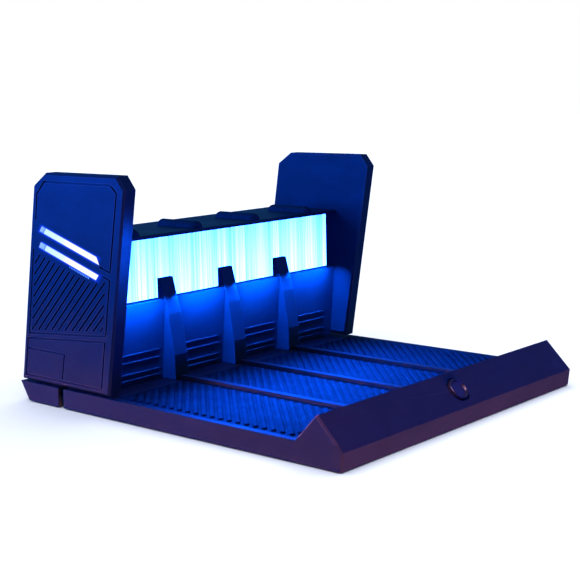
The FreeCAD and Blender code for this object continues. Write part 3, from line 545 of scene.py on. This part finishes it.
def button_cap_piece():
    """Turned cap with a rolled rim and a dished middle."""
    place = button_frame()
    stem_end = CAP_PROFILE[0][1]
    dish_floor = CAP_PROFILE[-1][1]
    vertices = [place @ Vector((0.0, 0.0, stem_end * MM))]
    for radius, height in CAP_PROFILE:
        for step in range(CAP_STEPS):
            turn = 2 * math.pi * step / CAP_STEPS
            spot = Vector((radius * math.cos(turn), radius * math.sin(turn), height)) * MM
            vertices.append(place @ spot)
    vertices.append(place @ Vector((0.0, 0.0, dish_floor * MM)))
    faces = []
    last_ring = 1 + (len(CAP_PROFILE) - 1) * CAP_STEPS
    for step in range(CAP_STEPS):
        follower = (step + 1) % CAP_STEPS
        faces.append((0, 1 + follower, 1 + step))
        faces.append((last_ring + step, last_ring + follower, len(vertices) - 1))
        for ring in range(len(CAP_PROFILE) - 1):
            base = 1 + ring * CAP_STEPS
            faces.append((base + step, base + follower, base + CAP_STEPS + follower, base + CAP_STEPS + step))
    piece = new_piece("button_cap_dished", vertices, faces, cap_gloss("cap gloss"), BUTTON)
    piece.data.shade_smooth()
    piece.data.set_sharp_from_angle(angle=math.radians(50))
    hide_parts("button_cap")
    return piece


# A tick's rings, from its foot, sunk in the panel, to its top: share of its size,
# and height off the panel.
TICK_RINGS = [(1.0, -0.05 * MM), (1.0, 0.06 * MM), (0.6, 0.12 * MM)]
TICK_CORNERS = [(-1, -1), (1, -1), (1, 1), (-1, 1)]


def tick_faces(base, outward):
    """Faces of one tick, whose vertices start at base, turned to face outwards."""
    faces = []
    for ring in (base, base + 4):
        for corner in range(4):
            follower = (corner + 1) % 4
            faces.append((ring + corner, ring + follower, ring + 4 + follower, ring + 4 + corner))
    faces += [(base, base + 3, base + 2, base + 1), (base + 8, base + 9, base + 10, base + 11)]
    return faces if outward > 0 else [tuple(reversed(corners)) for corners in faces]


def tick_marks(side, material):
    """Row of small raised marks under the front half of the lower light bar."""
    node = side + "_panel_cover"
    bar_y, bar_z = bar_corner()
    low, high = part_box(node)
    outward = 1 if side == "right" else -1
    panel = high.x if side == "right" else low.x
    vertices = []
    faces = []
    for index in range(TICKS):
        ahead = TICK_START + TICK_PITCH * index
        y = bar_y - ahead
        z = bar_z - BAR_SPACING - BAR_THICKNESS - TICK_GAP - ahead * BAR_DROP
        faces += tick_faces(len(vertices), outward)
        for share, height in TICK_RINGS:
            for along, up in TICK_CORNERS:
                vertices.append((panel + outward * height, y + along * share * TICK_HALF_WIDTH,
                                 z + up * share * TICK_HALF_HEIGHT))
    new_piece("tick_marks_" + side, vertices, faces, material, RACK)


# ---------------------------------------------------------------- floor and backdrop

FLOOR_RADIUS = 6.0
FLOOR_SIDES = 96
SKY_COLOUR = (0.06, 0.33, 1.0)
SKY_STRENGTH = 0.35


def pale_floor():
    """Large round floor whose white doesn't wash out the dark rack."""
    turns = [2 * math.pi * step / FLOOR_SIDES for step in range(FLOOR_SIDES)]
    corners = [(FLOOR_RADIUS * math.cos(turn), FLOOR_RADIUS * math.sin(turn), 0.0) for turn in turns]
    mesh = bpy.data.meshes.new("floor")
    mesh.from_pydata(corners, [], [tuple(range(FLOOR_SIDES))])
    floor = bpy.data.objects.new("floor", mesh)
    bpy.context.scene.collection.objects.link(floor)
    shader = Shader("pale floor")
    shader.set("Base Color", (0.93, 0.93, 0.94))
    shader.set("Roughness", 0.9)
    shader.set("Specular IOR Level", 0.0)
    mesh.materials.append(shader.material)
    floor.visible_diffuse = False
    floor.visible_glossy = False
    floor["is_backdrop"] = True
    return floor


def pale_world():
    """White backdrop behind the floor, and a soft blue sky on the rack."""
    world = bpy.data.worlds.new("pale studio")
    world.use_nodes = True
    tree = world.node_tree
    sky = tree.nodes["Background"]
    sky.inputs["Color"].default_value = (*SKY_COLOUR, 1.0)
    sky.inputs["Strength"].default_value = SKY_STRENGTH
    backdrop = tree.nodes.new("ShaderNodeBackground")
    backdrop.inputs["Color"].default_value = (*WHITE, 1.0)
    backdrop.inputs["Strength"].default_value = 1.0
    mix = tree.nodes.new("ShaderNodeMixShader")
    tree.links.new(tree.nodes.new("ShaderNodeLightPath").outputs["Is Camera Ray"], mix.inputs["Fac"])
    tree.links.new(sky.outputs["Background"], mix.inputs[1])
    tree.links.new(backdrop.outputs["Background"], mix.inputs[2])
    tree.links.new(mix.outputs["Shader"], tree.nodes["World Output"].inputs["Surface"])
    bpy.context.scene.world = world


# ---------------------------------------------------------------- lights

BLUE = (0.0, 0.08, 1.0)
DEEP_BLUE = (0.0, 0.02, 1.0)
ROSE = (1.0, 0.32, 0.10)
GLINT = (1.0, 0.50, 0.80)


def gather(name, items):
    """A collection that a light can be linked to."""
    group = bpy.data.collections.new(name)
    for item in items:
        group.objects.link(item)
    return group


def light_groups(cap):
    """The collections that the lamps reach, by short name."""
    nodes = frame["nodes"]
    base = [nodes["base_tray"], nodes["button_ring"]]
    covers = [nodes[name] for name in both("panel_cover")]
    plates = [nodes[name] for name in both("panel_plate")]
    members = {
        "rack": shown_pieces(),
        "shell": base + covers + [cap],
        "base": base,
        "rim": covers + [cap],
        "cap": [cap],
        "wall": [nodes["rear_unit_front"]] + plates,
        "glow": [nodes["light_reflector"]],
        "floor": [pale_floor()],
    }
    return {name: gather(name + " pieces", items) for name, items in members.items()}


def tame_glow(group):
    """Let the glowing nodes light only the reflector: soft boxes stand for the rest of their spill."""
    for name in ["light_diffuser"] + both("light_guide"):
        frame["nodes"][name].light_linking.receiver_collection = group


def soft_light(name, place, target, size, power, colour, receivers, spread=180, blockers=None):
    """Rectangular soft box that lights one collection, shaded by everything or by one other collection."""
    data = bpy.data.lights.new(name, "AREA")
    data.shape = "RECTANGLE"
    data.size, data.size_y = size
    data.energy = power
    data.color = colour
    data.spread = math.radians(spread)
    lamp = bpy.data.objects.new(name, data)
    bpy.context.scene.collection.objects.link(lamp)
    aim = Vector(target) - Vector(place)
    lamp.matrix_world = Matrix.Translation(place) @ aim.to_track_quat("-Z", "Y").to_matrix().to_4x4()
    lamp.visible_camera = False
    lamp.light_linking.receiver_collection = receivers
    if blockers:
        lamp.light_linking.blocker_collection = blockers


def floor_sun(receivers):
    """Even, very soft light from above that keeps the floor pale right to the horizon."""
    data = bpy.data.lights.new("floor sun", "SUN")
    data.energy = 3.6
    data.angle = math.radians(100)
    lamp = bpy.data.objects.new("floor sun", data)
    bpy.context.scene.collection.objects.link(lamp)
    lamp.light_linking.receiver_collection = receivers


def room_boxes(groups):
    """Soft boxes round the rack: blue from the left, front and right, rose from low down."""
    rack = groups["rack"]
    soft_light("blue box", place=(-0.60, 0.42, 0.30), target=(LEFT, 0.09, 0.11), size=(0.5, 0.5),
               power=18.0, colour=BLUE, receivers=rack)
    soft_light("front box", place=(-0.05, -0.70, 0.03), target=(0.0, -0.10, 0.0), size=(0.6, 0.05),
               power=6.8, colour=DEEP_BLUE, receivers=rack)
    soft_light("right box", place=(0.45, -0.35, 0.45), target=(0.0, -0.12, 0.02), size=(0.5, 0.5),
               power=1.0, colour=DEEP_BLUE, receivers=rack)
    soft_light("rose left", place=(-0.62, 0.22, 0.03), target=(LEFT, 0.02, -0.045), size=(0.5, 0.03),
               power=0.21, colour=ROSE, receivers=groups["shell"], spread=24, blockers=rack)
    soft_light("rose front", place=(0.0, -0.55, -0.25), target=(0.0, FRONT, 0.0), size=(0.6, 0.10),
               power=0.85, colour=ROSE, receivers=groups["base"], spread=60, blockers=rack)


def panel_spill(groups):
    """Soft lights in front of the lit panel, over the mats and down the recessed wall of each lane."""
    low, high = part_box("light_diffuser")
    middle = 0.5 * (low.z + high.z)
    reach = 0.9 * (high.x - low.x)
    soft_light("mat glow", place=(0.0, low.y - 0.032, middle + 0.009), target=(0.0, -0.05, 0.012),
               size=(reach, 0.02), power=1.0, colour=BLUE, receivers=groups["rack"], spread=100)
    for lane, bumper in enumerate(numbered("rest_bumper", LANES), 1):
        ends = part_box(bumper)
        x = 0.5 * (ends[0].x + ends[1].x)
        soft_light("wall glow %d" % lane, place=(x, low.y - 0.0115, low.z + 0.004),
                   target=(x, low.y - 0.0090, 0.03), size=(0.036, 0.003), power=0.42, colour=BLUE,
                   receivers=groups["wall"], spread=140)


def edge_lights(groups):
    """Weak lamps for the highlights on the panel's and the lip's edges and on the cap."""
    rack = groups["rack"]
    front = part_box("left_panel_cover")[0]
    cap_middle = button_frame().translation
    soft_light("panel rim", place=(-0.56, -0.35, 0.21), target=(LEFT, 0.02, 0.09), size=(0.02, 0.10),
               power=0.03, colour=ROSE, receivers=groups["rim"], spread=60, blockers=rack)
    soft_light("lip rim", place=(-0.301, -0.229, 0.227), target=(LEFT, -0.118, 0.02), size=(0.02, 0.02),
               power=0.03, colour=ROSE, receivers=groups["base"], spread=60, blockers=rack)
    soft_light("button glint", place=cap_middle + Vector((-0.26, -0.05, 0.32)), target=cap_middle,
               size=(0.45, 0.25), power=3.0, colour=GLINT, receivers=groups["cap"], spread=120, blockers=rack)
    soft_light("edge glow", place=(front.x + 0.017, front.y - 0.017, 0.090),
               target=(front.x + 0.003, front.y + 0.008, 0.088), size=(0.01, 0.03), power=0.04,
               colour=BLUE, receivers=rack, spread=120)


# ---------------------------------------------------------------- camera

CAMERA_PLACE = (-0.5853, -0.4986, 0.1905)
CAMERA_YAW = math.radians(49.29)
CAMERA_DIP = math.radians(9.29)
CAMERA_ROLL = math.radians(-1.04)
CAMERA_LENS = 78.78
CAMERA_SENSOR = 36.0


def make_camera():
    """Camera at the photo's viewing angle, solved from the rack's straight edges."""
    data = bpy.data.cameras.new("camera")
    data.lens = CAMERA_LENS
    data.sensor_width = CAMERA_SENSOR
    camera = bpy.data.objects.new("camera", data)
    bpy.context.scene.collection.objects.link(camera)
    turn = Matrix.Rotation(-CAMERA_YAW, 4, "Z") @ Matrix.Rotation(math.pi / 2 - CAMERA_DIP, 4, "X")
    camera.matrix_world = Matrix.Translation(CAMERA_PLACE) @ turn @ Matrix.Rotation(CAMERA_ROLL, 4, "Z")
    bpy.context.scene.camera = camera


# ---------------------------------------------------------------- the scene

dress_shell()
dress_works()
soften_edges(0.30 * MM, "base_tray", "rear_unit_front", "top_deck", "rear_cover")
soften_edges(0.22 * MM, *both("panel_cover"))
button_cap = button_cap_piece()
tick_material = tick_glow("tick glow")
tick_marks("left", tick_material)
tick_marks("right", tick_material)

light_reach = light_groups(button_cap)
tame_glow(light_reach["glow"])
pale_world()
floor_sun(light_reach["floor"])
room_boxes(light_reach)
panel_spill(light_reach)
edge_lights(light_reach)
make_camera()
bpy.context.scene.view_settings.view_transform = "Standard"
